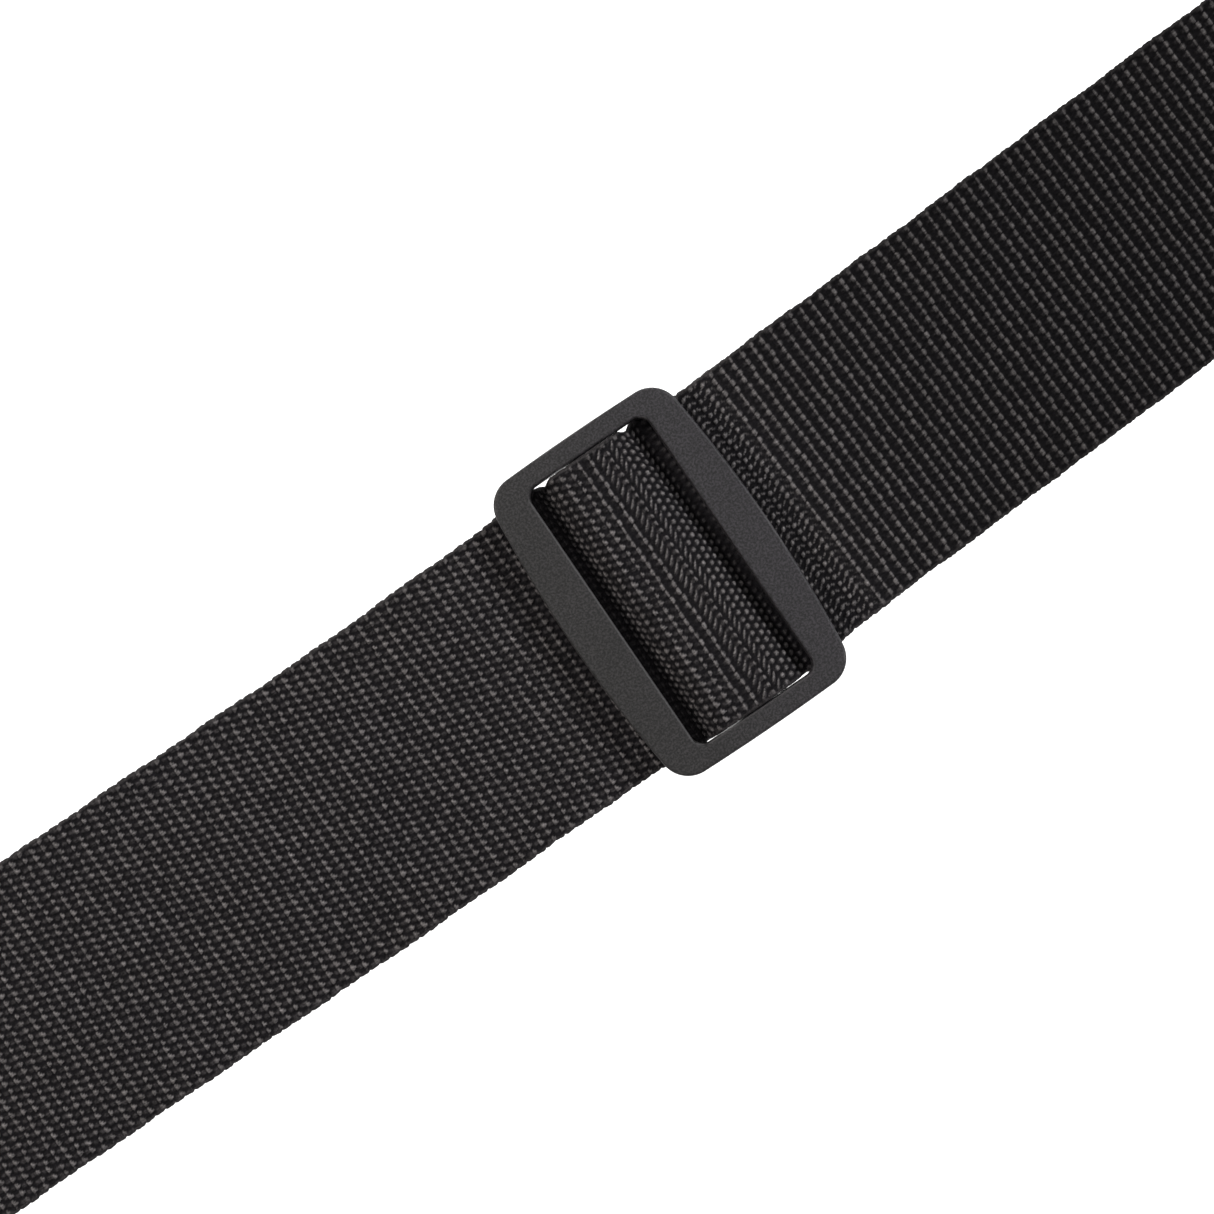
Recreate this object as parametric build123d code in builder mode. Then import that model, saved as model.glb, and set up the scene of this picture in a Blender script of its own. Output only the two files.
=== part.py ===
from build123d import *
from math import atan2, cos, degrees, hypot, pi, radians, sin, tan
import os

# Adjustable guitar strap, laid out straight, in millimetres.
# Origin: centre of the front strap-button hole, on the strap's under face.
# +X runs along the strap to the rear button hole, +Y across it, +Z up.
# Webbing heights (z) are given at the middle of a ply's thickness.

# Webbing
web_w = 50.0
web_t = 1.5             # thickness of one ply
half_t = web_t / 2
ply_gap = 0.02          # air between sewn plies
piece_gap = 0.02        # air between webbing pieces that follow each other
floor_z = half_t + 0.1  # a ply lying on the table

# Leather tabs; x is measured from the button hole towards the webbing
leather_t = 1.8         # one leather ply
tab_nose_r = 19.0       # rounded nose, concentric with the button hole
tab_w = 54.0            # width where the webbing enters
tab_taper_x = 62.0      # the taper ends here
tab_end_x = 98.0        # straight edge across the webbing
tab_corner_r = 4.0
tab_web_x = 54.0        # webbing end inside the tab
tab_step = (45.0, 53.0)  # the outer ply climbs over the webbing end here
tab_step_lead = 1.0     # its upper face climbs this much nearer the hole
tab_profile_x = (-25.0, 105.0)  # side profiles overrun the tab at both ends
backing_chamfer = 0.3
hole_r = 4.0            # strap-button hole
slit_w = 1.0            # slit that lets the button head through
slit_end = 14.0         # far end of the slit from the hole centre
blank_h = 12.0          # tab outline is raised to this, then cut to a side profile
clip_half_y = 40.0      # half width of the side-profile cutter

# Sewing thread
thread_w = 0.7
thread_h = 0.30
edge_inset = 3.5        # thread line inside the leather edge
box_x = (59.0, 93.0)    # box-and-cross seam over the webbing end
box_w = 39.0

# Moulded tri-glide (slider)
slider_x = 640.0        # middle of the frame at rest
glide_y = 60.0          # across the webbing, at the middle of the bowed ends
glide_x = 39.4          # along the webbing, at the middle of the bowed bars
glide_bow = 2.0         # outward bow of each long bar
glide_end_bow = 0.35    # outward bow of each short bar
glide_t = 4.8
glide_z = 5.15          # under face of the frame
glide_corner_r = 5.3
glide_edge_r = 0.5
front_bar = 7.9
rear_bar = 7.1
rear_bar_extra = 0.2    # added to the rear bar at the window
window_y = 52.3
window_corner_r = 2.2
centre_bar_w = 6.5
centre_bar_t = 2.6
centre_bar_flat = 0.05  # half the flat left on each rounded edge
centre_bar_embed = 1.6  # the bar runs this far into each short bar

# Webbing at the tri-glide; joins are measured from slider_x
front_join = -30.0
rear_join = 36.0
bar_gap = 0.03          # webbing to centre bar, and main ply to the fold
tail_gap = 0.05         # between the fold's two plies
under_bar_z = 4.25      # main ply under the long bars
fold_slope = radians(60)
bartack_offsets = (22.5, 30.5)
bartack_size = (1.6, 46.0)
bartack_h = 0.24

# Rectangular loop
loop_x = 1080.0         # first bar, wrapped by the main webbing
loop_pitch = 17.0       # first bar to second bar
loop_wire_r = 2.1
loop_half_y = 28.1      # side arm centrelines
loop_corner_r = 2.8
wrap_gap = 0.05         # running clearance of the webbing round a bar
turn_len = 22.0         # the loop turn starts this far before the first bar
doubled_gap = 0.2       # between the plies from slider to loop

# Tail link and rear tab
tail_visible = 44.0     # second bar to the rear leather edge
tail_gap_z = 0.04       # between the link's two plies
link_box_offset = 25.0  # seam middle from the second bar
link_box = (17.0, 42.0)

# Derived heights and places
tab_web_z = leather_t + ply_gap + half_t
nose_low = leather_t + ply_gap          # outer ply at the nose
nose_top = nose_low + leather_t
over_low = tab_web_z + half_t + ply_gap  # outer ply over the webbing
over_top = over_low + leather_t

window_x0 = -glide_x / 2 + front_bar
window_x1 = glide_x / 2 - rear_bar - rear_bar_extra
window_mid = (window_x0 + window_x1) / 2
bar_mid_z = glide_z + centre_bar_t / 2

fold_r = centre_bar_t / 2 + bar_gap + half_t
fold_top = bar_mid_z + fold_r
arch_z = fold_top + web_t + bar_gap     # main ply over the centre bar
tail_ply_z = floor_z + web_t + tail_gap
top_ply_z = floor_z + web_t + doubled_gap

wrap_r = loop_wire_r + wrap_gap + half_t
loop_z = floor_z + wrap_r
wrap_top = loop_z + wrap_r
wrap_low = loop_z - wrap_r
turn_x = loop_x - turn_len
bar2_x = loop_x + loop_pitch
short_ply_z = tab_web_z + web_t + tail_gap_z
rear_hole_x = bar2_x + tail_visible + tab_end_x
front_end_x = 106.0     # end of the webbing piece held in the front tab

# Side view: local x is +X, local y is +Z, and the plane faces -Y
side_plane = Plane(origin=(0, 0, 0), x_dir=(1, 0, 0), z_dir=(0, -1, 0))


def save(name, part):
    part.label = name
    export_step(part, f"parts/{name}.step")


# ------------------------------- webbing -----------------------------------
def centre_runs(stations):
    """Split a filleted polyline into runs: (points, arc centre or None, radius, turn side)."""
    runs = []
    last = stations[0][:2]
    for before, station, after in zip(stations, stations[1:], stations[2:]):
        x, z, bend_r = station
        angle_in = atan2(z - before[1], x - before[0])
        angle_out = atan2(after[1] - z, after[0] - x)
        turn = (angle_out - angle_in + pi) % (2 * pi) - pi
        reach = bend_r * tan(abs(turn) / 2)
        start = (x - reach * cos(angle_in), z - reach * sin(angle_in))
        end = (x + reach * cos(angle_out), z + reach * sin(angle_out))
        side = 1 if turn > 0 else -1
        centre = (start[0] - side * bend_r * sin(angle_in),
                  start[1] + side * bend_r * cos(angle_in))
        mid_angle = atan2(start[1] - centre[1], start[0] - centre[0]) + turn / 2
        middle = (centre[0] + bend_r * cos(mid_angle), centre[1] + bend_r * sin(mid_angle))
        runs.append(([last, start], None, 0, 0))
        runs.append(([start, middle, end], centre, bend_r, side))
        last = end
    runs.append(([last, stations[-1][:2]], None, 0, 0))
    return runs


def shifted(runs, shift):
    """Points of each run, moved by shift to the left of its direction of travel."""
    moved = []
    for points, centre, bend_r, side in runs:
        if centre is None:
            (x0, z0), (x1, z1) = points
            length = hypot(x1 - x0, z1 - z0)
            if length < 1e-4:
                continue
            dx, dz = -(z1 - z0) / length * shift, (x1 - x0) / length * shift
            moved.append([(x + dx, z + dz) for x, z in points])
        else:
            scale = (bend_r - side * shift) / bend_r
            moved.append([(centre[0] + (x - centre[0]) * scale,
                           centre[1] + (z - centre[1]) * scale) for x, z in points])
    return moved


def draw_ribbon(stations):
    """Draw the closed outline of one ply into the active BuildLine."""
    runs = centre_runs(stations)
    left = shifted(runs, half_t)
    right = [points[::-1] for points in reversed(shifted(runs, -half_t))]
    far_end = [left[-1][-1], right[0][0]]
    near_end = [right[-1][-1], left[0][0]]
    for points in left + [far_end] + right + [near_end]:
        if len(points) == 2:
            Line(*points)
        else:
            ThreePointArc(*points)


def webbing(stations):
    """One piece of webbing; stations are (x, z, bend radius), the ends with radius 0."""
    with BuildPart() as piece:
        with BuildSketch(side_plane):
            with BuildLine():
                draw_ribbon(stations)
            make_face()
        extrude(amount=web_w / 2, both=True)
    return piece.part


def low_run(start_x, start_z, low_z, end_x, end_z, climb):
    """Webbing that drops to low_z, lies there, and climbs again to end_z."""
    return webbing([
        (start_x + piece_gap, start_z, 0),
        (start_x + 6, start_z, 30),
        (start_x + 40, low_z, 60),
        (end_x - climb, low_z, 60),
        (end_x - 6, end_z, 30),
        (end_x - piece_gap, end_z, 0),
    ])


def slider_arch():
    """Main webbing under, over and under the three bars of the tri-glide."""
    middle_x = slider_x + window_mid
    return webbing([
        (slider_x + front_join, under_bar_z, 0),
        (middle_x - 10.1, under_bar_z, 2.2),
        (middle_x - 6.5, arch_z, 2.4),
        (middle_x + 4.4, arch_z, 4.0),
        (middle_x + 7.5, arch_z - 2.0, 3.0),
        (middle_x + 10.1, under_bar_z, 2.2),
        (slider_x + rear_join, under_bar_z, 0),
    ])


def sewn_fold():
    """Webbing end folded round the centre bar and laid back on to itself."""
    fold_low = bar_mid_z - fold_r
    fold_front = window_mid - centre_bar_w / 2 - bar_gap - half_t
    rear_centre = window_mid + centre_bar_w / 2 - centre_bar_t / 2
    # Upper ply: leaves the bar top at corner_x and slopes down to upper_foot
    corner_x = rear_centre + fold_r * tan(fold_slope / 2)
    upper_foot = corner_x + (fold_top - tail_ply_z) / tan(fold_slope)
    # Lower ply: its slope is parallel to the upper one, through (lower_x, lower_z)
    ply_pitch = tail_ply_z - floor_z
    lower_x = corner_x - ply_pitch * sin(fold_slope)
    lower_z = fold_top - ply_pitch * cos(fold_slope)
    lower_bend = lower_x + (lower_z - fold_low) / tan(fold_slope)
    lower_foot = lower_x + (lower_z - floor_z) / tan(fold_slope)
    stations = [
        (rear_join - 2.0, tail_ply_z, 0),
        (upper_foot, tail_ply_z, 1.05),
        (corner_x, fold_top, fold_r),
        (fold_front, fold_top, fold_r),
        (fold_front, fold_low, fold_r),
        (lower_bend, fold_low, 1.0),
        (lower_foot, floor_z, 2.6),
        (rear_join, floor_z, 0),
    ]
    return webbing([(slider_x + x, z, bend_r) for x, z, bend_r in stations])


def loop_turn():
    """Main webbing turned back round the first bar of the loop."""
    return webbing([
        (turn_x, wrap_top, 0),
        (loop_x + wrap_r, wrap_top, wrap_r),
        (loop_x + wrap_r, wrap_low, wrap_r),
        (turn_x, wrap_low, 0),
    ])


def tail_link():
    """Short webbing from the second bar of the loop into the rear tab."""
    return webbing([
        (bar2_x + 36, short_ply_z, 0),
        (bar2_x + 13, short_ply_z, 6),
        (bar2_x + 5, wrap_top, 6),
        (bar2_x - wrap_r, wrap_top, wrap_r),
        (bar2_x - wrap_r, wrap_low, wrap_r),
        (bar2_x + 5, wrap_low, 6),
        (bar2_x + 14, tab_web_z, 6),
        (rear_hole_x - tab_web_x, tab_web_z, 0),
    ])


# ------------------------------- stitching ---------------------------------
def box_stitching(middle_x, bottom_z, length, width, crossed):
    """Rectangle of thread, with both diagonals if crossed."""
    with BuildPart() as seam:
        with BuildSketch(Plane.XY.offset(bottom_z)):
            with Locations((middle_x, 0)):
                Rectangle(length, width)
                Rectangle(length - 2 * thread_w, width - 2 * thread_w, mode=Mode.SUBTRACT)
                if crossed:
                    diagonal = hypot(length - thread_w, width - thread_w)
                    angle = degrees(atan2(width - thread_w, length - thread_w))
                    Rectangle(diagonal, thread_w, rotation=angle)
                    Rectangle(diagonal, thread_w, rotation=-angle)
        extrude(amount=thread_h)
    return seam.part


def slider_bartack():
    """Two rows of thread through the fold's two plies."""
    with BuildPart() as rows:
        with BuildSketch(Plane.XY.offset(tail_ply_z + half_t + ply_gap)):
            for row_x in bartack_offsets:
                with Locations((slider_x + row_x, 0)):
                    Rectangle(*bartack_size)
        extrude(amount=bartack_h)
    return rows.part


# ------------------------------ leather tabs -------------------------------
# Side profiles as (x from the button hole, z)
outer_under = [
    (tab_profile_x[0], nose_low),
    (tab_step[0], nose_low),
    (tab_step[1], over_low),
    (tab_profile_x[1], over_low),
]
outer_upper = [
    (tab_profile_x[0], nose_top),
    (tab_step[0] - tab_step_lead, nose_top),
    (tab_step[1] - tab_step_lead, over_top),
    (tab_profile_x[1], over_top),
]
thread_under = [(x, z + ply_gap) for x, z in outer_upper]
thread_upper = [(x, z + thread_h) for x, z in thread_under]
outer_profile = outer_under + outer_upper[::-1]
thread_profile = thread_under + thread_upper[::-1]


def punched_plan(outline, hole_x, facing):
    """Tab outline with its button hole and slit."""
    with BuildSketch() as plan:
        add(outline)
        with Locations((hole_x, 0)):
            Circle(hole_r, mode=Mode.SUBTRACT)
        with Locations((hole_x + facing * slit_end / 2, 0)):
            Rectangle(slit_end, slit_w, mode=Mode.SUBTRACT)
    return plan.sketch


def edge_seam_plan(outline):
    """Line of thread following the tab outline."""
    with BuildSketch() as plan:
        add(outline)
        offset(amount=-edge_inset, mode=Mode.REPLACE)
        offset(amount=-thread_w, mode=Mode.SUBTRACT)
    return plan.sketch


def tab_backing(plan):
    """Flat under ply, chamfered round its bottom edge."""
    with BuildPart() as backing:
        with BuildSketch(Plane.XY):
            add(plan)
        extrude(amount=leather_t)
        chamfer(backing.faces().sort_by(Axis.Z)[0].outer_wire().edges(), backing_chamfer)
    return backing.part


def profiled(plan, profile, hole_x, facing):
    """A plan raised to a block and cut to a stepped side profile."""
    with BuildPart() as piece:
        with BuildSketch(Plane.XY):
            add(plan)
        extrude(amount=blank_h)
        with BuildSketch(side_plane):
            with BuildLine():
                Polyline(*[(hole_x + facing * x, z) for x, z in profile], close=True)
            make_face()
        extrude(amount=clip_half_y, both=True, mode=Mode.INTERSECT)
    return piece.part


def save_tab(end, outline, hole_x, facing):
    """The four pieces of one tab; facing is the X sign from hole to webbing."""
    plan = punched_plan(outline, hole_x, facing)
    save(f"{end}_tab_outer", profiled(plan, outer_profile, hole_x, facing))
    save(f"{end}_tab_backing", tab_backing(plan))
    save(f"{end}_tab_edge_stitching",
         profiled(edge_seam_plan(outline), thread_profile, hole_x, facing))
    save(f"{end}_tab_box_stitching",
         box_stitching(hole_x + facing * (box_x[0] + box_x[1]) / 2, over_top + ply_gap,
                       box_x[1] - box_x[0], box_w, crossed=True))


# Shield outline from above: round nose, straight tapers, square end
with BuildSketch() as front_outline:
    Circle(tab_nose_r)
    with Locations(((tab_taper_x + tab_end_x) / 2, 0)):
        Rectangle(tab_end_x - tab_taper_x, tab_w)
    make_hull()
    fillet(front_outline.vertices().group_by(Axis.X)[-1], tab_corner_r)

with BuildSketch() as rear_outline:
    add(front_outline.sketch.mirror(Plane.YZ).moved(Location((rear_hole_x, 0, 0))))


# -------------------------------- hardware ---------------------------------
def tri_glide():
    """Bowed frame with a low centre bar across its window."""
    corner_x = glide_x / 2 - glide_bow
    corner_y = glide_y / 2 - glide_end_bow
    # Clockwise from above: corners alternate with the middles of the bowed sides
    rim = [(slider_x + x, y) for x, y in [
        (-corner_x, corner_y), (0, glide_y / 2),
        (corner_x, corner_y), (glide_x / 2, 0),
        (corner_x, -corner_y), (0, -glide_y / 2),
        (-corner_x, -corner_y), (-glide_x / 2, 0),
        (-corner_x, corner_y),
    ]]
    with BuildPart() as glide:
        with BuildSketch(Plane.XY.offset(glide_z)) as plan:
            with BuildLine():
                for i in range(0, 8, 2):
                    ThreePointArc(*rim[i:i + 3])
            make_face()
            fillet(plan.vertices(), glide_corner_r)
            with Locations((slider_x + window_mid, 0)):
                RectangleRounded(window_x1 - window_x0, window_y, window_corner_r,
                                 mode=Mode.SUBTRACT)
        extrude(amount=glide_t)
        top_rims = glide.faces().sort_by(Axis.Z)[-1].edges()
        low_rims = glide.faces().sort_by(Axis.Z)[0].edges()
        fillet(top_rims + low_rims, glide_edge_r)
        # Centre bar, low in the frame so the webbing lies nearly flush over it
        with BuildSketch(side_plane.offset(window_y / 2 + centre_bar_embed)):
            with Locations((slider_x + window_mid, bar_mid_z)):
                RectangleRounded(centre_bar_w, centre_bar_t,
                                 centre_bar_t / 2 - centre_bar_flat)
        extrude(amount=-(window_y + 2 * centre_bar_embed))
    return glide.part


def rectangular_loop():
    """Round wire swept once round, from the middle of the first bar."""
    x0, x1, y1 = loop_x, bar2_x, loop_half_y
    radius = loop_corner_r
    inset = radius * (1 - cos(pi / 4))  # corner arc's middle, from each centreline
    with BuildPart() as loop:
        with BuildLine(Plane.XY.offset(loop_z)) as path:
            Line((x0, 0), (x0, y1 - radius))
            ThreePointArc((x0, y1 - radius), (x0 + inset, y1 - inset), (x0 + radius, y1))
            Line((x0 + radius, y1), (x1 - radius, y1))
            ThreePointArc((x1 - radius, y1), (x1 - inset, y1 - inset), (x1, y1 - radius))
            Line((x1, y1 - radius), (x1, -y1 + radius))
            ThreePointArc((x1, -y1 + radius), (x1 - inset, -y1 + inset), (x1 - radius, -y1))
            Line((x1 - radius, -y1), (x0 + radius, -y1))
            ThreePointArc((x0 + radius, -y1), (x0 + inset, -y1 + inset), (x0, -y1 + radius))
            Line((x0, -y1 + radius), (x0, 0))
        with BuildSketch(Plane(origin=(x0, 0, loop_z), x_dir=(1, 0, 0), z_dir=(0, 1, 0))):
            Circle(loop_wire_r)
        sweep(path=path.line)
    return loop.part


# --------------------------------- output ----------------------------------
os.makedirs("parts", exist_ok=True)

# Front tab and the webbing up to the slider
save_tab("front", front_outline.sketch, hole_x=0, facing=1)
save("webbing_front_end", webbing([(tab_web_x, tab_web_z, 0), (front_end_x, tab_web_z, 0)]))
save("webbing_front_run",
     low_run(front_end_x, tab_web_z, floor_z, slider_x + front_join, under_bar_z, climb=45))

# Slider
save("tri_glide", tri_glide())
save("webbing_slider_arch", slider_arch())
save("webbing_sewn_fold", sewn_fold())
save("slider_bartack", slider_bartack())

# Doubled webbing to the loop
doubled_x = slider_x + rear_join
save("webbing_top_run",
     low_run(doubled_x, under_bar_z, top_ply_z, turn_x, wrap_top, climb=60))
save("webbing_return_run",
     webbing([(doubled_x + piece_gap, floor_z, 0), (turn_x - piece_gap, floor_z, 0)]))
save("webbing_loop_turn", loop_turn())
save("rectangular_loop", rectangular_loop())

# Tail link and rear tab
save("tail_link_webbing", tail_link())
save("tail_link_stitching",
     box_stitching(bar2_x + link_box_offset, short_ply_z + half_t + ply_gap,
                   *link_box, crossed=False))
save_tab("rear", rear_outline.sketch, hole_x=rear_hole_x, facing=-1)
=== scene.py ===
# A black webbing strap with a buttonholed leather tab at each end, a moulded tri-glide
# slider and a rectangular loop. It lies along X, +Z up, its width along Y and the leather's
# underside at z = 0. The front tab's button hole is at the origin; the rear tab is its
# mirror image at the +X end. From the front tab the webbing passes over the tri-glide,
# turns in the loop and comes back underneath to be sewn round the tri-glide's centre bar.
# A short tail link joins the loop to the rear tab.
# Sizes are in millimetres; meshes, camera and lights are made in metres.
import math
import bpy
import bmesh
import numpy as np
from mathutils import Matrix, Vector
from mathutils.geometry import tessellate_polygon


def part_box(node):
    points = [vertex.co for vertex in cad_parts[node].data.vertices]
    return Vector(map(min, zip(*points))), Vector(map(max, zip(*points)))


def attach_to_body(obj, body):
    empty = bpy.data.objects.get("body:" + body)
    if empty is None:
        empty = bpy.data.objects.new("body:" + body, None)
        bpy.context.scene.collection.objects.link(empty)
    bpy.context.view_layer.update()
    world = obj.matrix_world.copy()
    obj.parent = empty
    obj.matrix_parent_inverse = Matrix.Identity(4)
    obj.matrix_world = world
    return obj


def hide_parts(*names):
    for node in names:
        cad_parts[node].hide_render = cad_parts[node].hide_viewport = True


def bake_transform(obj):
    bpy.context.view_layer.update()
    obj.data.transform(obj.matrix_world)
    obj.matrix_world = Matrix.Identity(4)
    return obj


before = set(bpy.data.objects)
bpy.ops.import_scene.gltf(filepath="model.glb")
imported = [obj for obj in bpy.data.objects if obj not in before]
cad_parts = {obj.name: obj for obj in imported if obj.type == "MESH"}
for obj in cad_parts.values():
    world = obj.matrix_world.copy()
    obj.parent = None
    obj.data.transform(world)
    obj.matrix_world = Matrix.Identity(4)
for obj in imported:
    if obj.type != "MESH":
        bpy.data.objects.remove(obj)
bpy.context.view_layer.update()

scene = bpy.context.scene
MM = 0.001                            # metres in a millimetre


def mm_box(node):
    low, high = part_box(node)
    return np.array(low) * 1000.0, np.array(high) * 1000.0


# --- Places, read from the frame ---
glide_lo, glide_hi = mm_box("tri_glide")
loop_lo, loop_hi = mm_box("rectangular_loop")
end_lo, end_hi = mm_box("webbing_front_end")
arch_lo, arch_hi = mm_box("webbing_slider_arch")
fold_lo, fold_hi = mm_box("webbing_sewn_fold")
turn_lo, turn_hi = mm_box("webbing_loop_turn")
run_lo, run_hi = mm_box("webbing_top_run")
rear_lo, rear_hi = mm_box("rear_tab_outer")
tab_lo, tab_hi = mm_box("front_tab_outer")

GLIDE_X = (glide_lo[0] + glide_hi[0]) / 2          # middle of the tri-glide
WIRE_R = (loop_hi[2] - loop_lo[2]) / 2
LOOP_Z = (loop_hi[2] + loop_lo[2]) / 2
BAR_1_X = loop_lo[0] + WIRE_R                      # the loop's front bar
BAR_2_X = loop_hi[0] - WIRE_R                      # the loop's rear bar
NOSE_R = -tab_lo[0]
TAB_END = tab_hi[0]
TAB_HALF_W = tab_hi[1]
REAR_HOLE_X = rear_hi[0] - NOSE_R

# Webbing: one ply, and the heights of its middle plane
WEB_T = end_hi[2] - end_lo[2]
HALF_T = WEB_T / 2
WEB_HALF_W = 25.0
TAB_WEB_Z = (end_lo[2] + end_hi[2]) / 2
UNDER_Z = arch_lo[2] + HALF_T
ARCH_Z = arch_hi[2] - HALF_T
FLOOR_Z = fold_lo[2] + HALF_T
FOLD_TOP = fold_hi[2] - HALF_T
TOP_RUN_Z = run_lo[2] + HALF_T
TAIL_PLY_Z = FLOOR_Z + WEB_T + 0.05
SHORT_PLY_Z = TAB_WEB_Z + WEB_T + 0.04             # short upper ply of the tail link
WRAP_R = (turn_hi[2] - turn_lo[2]) / 2 - HALF_T    # round the loop's wire
TURN_REACH = BAR_1_X - turn_lo[0]

# The sewn fold round the centre bar; x is measured from GLIDE_X
WINDOW_X = 0.3                                     # middle of the window
BAR_W, BAR_T = 6.5, 2.6                            # centre bar
BAR_GAP = 0.03
FOLD_R = BAR_T / 2 + BAR_GAP + HALF_T
FOLD_LOW = glide_lo[2] + BAR_T / 2 - FOLD_R
FOLD_FRONT = WINDOW_X - BAR_W / 2 - BAR_GAP - HALF_T
SLOPE = math.radians(60)                           # both plies leave the bar at this angle
CORNER_X = WINDOW_X + BAR_W / 2 - BAR_T / 2 + FOLD_R * math.tan(SLOPE / 2)
TAIL_FOOT = CORNER_X + (FOLD_TOP - TAIL_PLY_Z) / math.tan(SLOPE)
PLY_GAP = TAIL_PLY_Z - FLOOR_Z
LOWER_X = CORNER_X - PLY_GAP * math.sin(SLOPE)     # under the corner, on the lower ply
LOWER_Z = FOLD_TOP - PLY_GAP * math.cos(SLOPE)
LOWER_BEND = LOWER_X + (LOWER_Z - FOLD_LOW) / math.tan(SLOPE)
LOWER_FOOT = LOWER_X + (LOWER_Z - FLOOR_Z) / math.tan(SLOPE)


# --- Webbing centreline ---
class Path:
    """Straight lines joined by arcs in the XZ plane, from corners of (x, z, radius)."""

    def __init__(self, corners):
        self.parts = []
        last = corners[0][:2]
        for before, corner, after in zip(corners, corners[1:], corners[2:]):
            x, z, radius = corner
            angle = math.atan2(z - before[1], x - before[0])
            angle_out = math.atan2(after[1] - z, after[0] - x)
            turn = (angle_out - angle + math.pi) % (2 * math.pi) - math.pi
            reach = radius * math.tan(abs(turn) / 2)
            start = (x - reach * math.cos(angle), z - reach * math.sin(angle))
            side = 1 if turn > 0 else -1
            centre = (start[0] - side * radius * math.sin(angle),
                      start[1] + side * radius * math.cos(angle))
            self.add_line(last, start)
            self.parts.append(("arc", abs(turn) * radius, centre, radius, side, angle))
            last = (x + reach * math.cos(angle_out), z + reach * math.sin(angle_out))
        self.add_line(last, corners[-1][:2])
        lengths = [part[1] for part in self.parts]
        self.start = np.concatenate([[0], np.cumsum(lengths)])
        self.total = self.start[-1]

    def add_line(self, start, end):
        length = math.hypot(end[0] - start[0], end[1] - start[1])
        if length > 1e-5:
            direction = ((end[0] - start[0]) / length, (end[1] - start[1]) / length)
            self.parts.append(("line", length, start, direction))

    def at(self, dist):
        """x, z and unit tangent at arc lengths dist."""
        dist = np.clip(np.asarray(dist, float), 0, self.total - 1e-9)
        part_at = np.searchsorted(self.start, dist, side="right") - 1
        part_at = np.clip(part_at, 0, len(self.parts) - 1)
        x, z, dir_x, dir_z = (np.zeros_like(dist) for _ in range(4))
        for i, part in enumerate(self.parts):
            here = part_at == i
            if not here.any():
                continue
            local = dist[here] - self.start[i]
            if part[0] == "line":
                _, _, start, direction = part
                x[here] = start[0] + direction[0] * local
                z[here] = start[1] + direction[1] * local
                dir_x[here], dir_z[here] = direction
            else:
                _, _, centre, radius, side, angle0 = part
                angle = angle0 + side * local / radius
                x[here] = centre[0] + side * radius * np.sin(angle)
                z[here] = centre[1] - side * radius * np.cos(angle)
                dir_x[here], dir_z[here] = np.cos(angle), np.sin(angle)
        return x, z, dir_x, dir_z


def from_glide(corners):
    return [(GLIDE_X + x, z, radius) for x, z, radius in corners]


# One continuous path, so the weave runs on through the joins between pieces
strap = Path(
    [(end_lo[0], TAB_WEB_Z, 0), (end_hi[0] + 6, TAB_WEB_Z, 30), (end_hi[0] + 40, FLOOR_Z, 60)]
    + from_glide([
        (-75, FLOOR_Z, 60), (-36, UNDER_Z, 30),
        (WINDOW_X - 10.1, UNDER_Z, 2.2), (WINDOW_X - 6.5, ARCH_Z, 2.4),
        (WINDOW_X + 4.4, ARCH_Z, 4.0), (WINDOW_X + 7.5, ARCH_Z - 2.0, 3.0),
        (WINDOW_X + 10.1, UNDER_Z, 2.2),
        (42, UNDER_Z, 30), (76, TOP_RUN_Z, 60)])
    + [(BAR_1_X - TURN_REACH - 60, TOP_RUN_Z, 60),
       (BAR_1_X - TURN_REACH - 6, LOOP_Z + WRAP_R, 30),
       (BAR_1_X + WRAP_R, LOOP_Z + WRAP_R, WRAP_R), (BAR_1_X + WRAP_R, LOOP_Z - WRAP_R, WRAP_R)]
    + from_glide([
        (LOWER_FOOT, FLOOR_Z, 2.6), (LOWER_BEND, FOLD_LOW, 1.0),
        (FOLD_FRONT, FOLD_LOW, FOLD_R), (FOLD_FRONT, FOLD_TOP, FOLD_R),
        (CORNER_X, FOLD_TOP, FOLD_R), (TAIL_FOOT, TAIL_PLY_Z, 1.05), (34, TAIL_PLY_Z, 0)]))

# From the rear tab, round the loop's rear bar and back on top of itself
tail_link = Path([
    (REAR_HOLE_X - 54.0, TAB_WEB_Z, 0), (BAR_2_X + 14, TAB_WEB_Z, 6),
    (BAR_2_X + 5, LOOP_Z - WRAP_R, 6), (BAR_2_X - WRAP_R, LOOP_Z - WRAP_R, WRAP_R),
    (BAR_2_X - WRAP_R, LOOP_Z + WRAP_R, WRAP_R), (BAR_2_X + 5, LOOP_Z + WRAP_R, 6),
    (BAR_2_X + 13, SHORT_PLY_Z, 6), (BAR_2_X + 36, SHORT_PLY_Z, 0)])

scan_dist = np.linspace(0, strap.total, 60000)
scan_x = strap.at(scan_dist)[0]
apex = int(np.argmax(scan_x))
back_end = apex + int(np.argmax(scan_x[apex:] < GLIDE_X + 30))


def dist_out(x):
    """Arc length where the outgoing (upper) run passes x."""
    rising_x = np.maximum.accumulate(scan_x[:apex + 1])
    return float(np.interp(x, rising_x, scan_dist[:apex + 1]))


def dist_back(x):
    """Arc length where the returning (lower) run passes x."""
    return float(np.interp(-x, -scan_x[apex:back_end], scan_dist[apex:back_end]))


def smooth01(t):
    t = np.clip(t, 0, 1)
    return t * t * (3 - 2 * t)


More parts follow.
